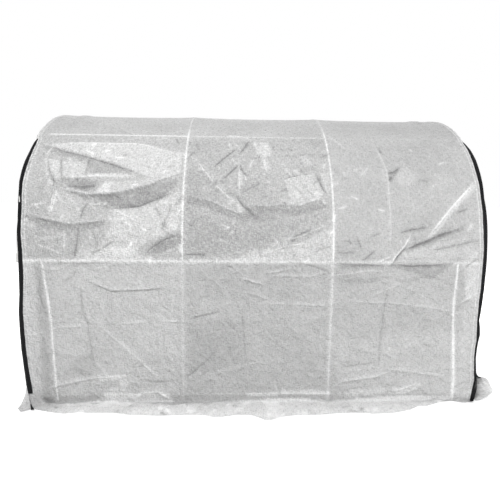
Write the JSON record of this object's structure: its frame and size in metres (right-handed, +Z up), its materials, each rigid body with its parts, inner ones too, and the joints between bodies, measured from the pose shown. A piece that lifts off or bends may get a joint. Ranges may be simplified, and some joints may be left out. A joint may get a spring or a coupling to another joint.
{
  "type": "plastic tunnel greenhouse",
  "caption": "Walk-in tunnel greenhouse: milky woven film over a round-arched tube frame with side, shoulder and ridge rails, zipped ends and a ground skirt.",
  "frame": {"origin": "on the ground in the middle of the tunnel", "axes": "+X along the tunnel towards its right end, -Y out of the front long wall, +Z up"},
  "size_m": [3.3, 2.4, 2],
  "materials": {
    "film": "milky woven polyethylene film with a soft gloss",
    "tube": "white powder-coated steel tube",
    "fitting": "white moulded plastic",
    "zip": "black woven tape with a moulded coil",
    "slider": "black lacquered cast metal"
  },
  "bodies": {
    "root": {"front_base_rail": "tube", "front_crown_film": "film", "front_foot_fittings": "fitting", "front_haunch_film": "film", "front_leg_1": "tube", "front_leg_2": "tube", "front_leg_3": "tube", "front_leg_4": "tube", "front_shoulder_fittings": "fitting", "front_shoulder_rail": "tube", "front_side_rail": "tube", "front_side_rail_fittings": "fitting", "front_skirt": "film", "front_wall_film": "film", "hoop_1_arcs": "tube", "hoop_2_arcs": "tube", "hoop_3_arcs": "tube", "hoop_4_arcs": "tube", "left_end_panel": "film", "left_front_zip": "zip", "left_rear_zip": "zip", "left_skirt": "film", "rear_base_rail": "tube", "rear_crown_film": "film", "rear_foot_fittings": "fitting", "rear_haunch_film": "film", "rear_leg_1": "tube", "rear_leg_2": "tube", "rear_leg_3": "tube", "rear_leg_4": "tube", "rear_shoulder_fittings": "fitting", "rear_shoulder_rail": "tube", "rear_side_rail": "tube", "rear_side_rail_fittings": "fitting", "rear_skirt": "film", "rear_wall_film": "film", "ridge_fittings": "fitting", "ridge_rail": "tube", "right_end_panel": "film", "right_front_zip": "zip", "right_rear_zip": "zip", "right_skirt": "film", "zip_sliders": "slider"}
  },
  "joints": []
}
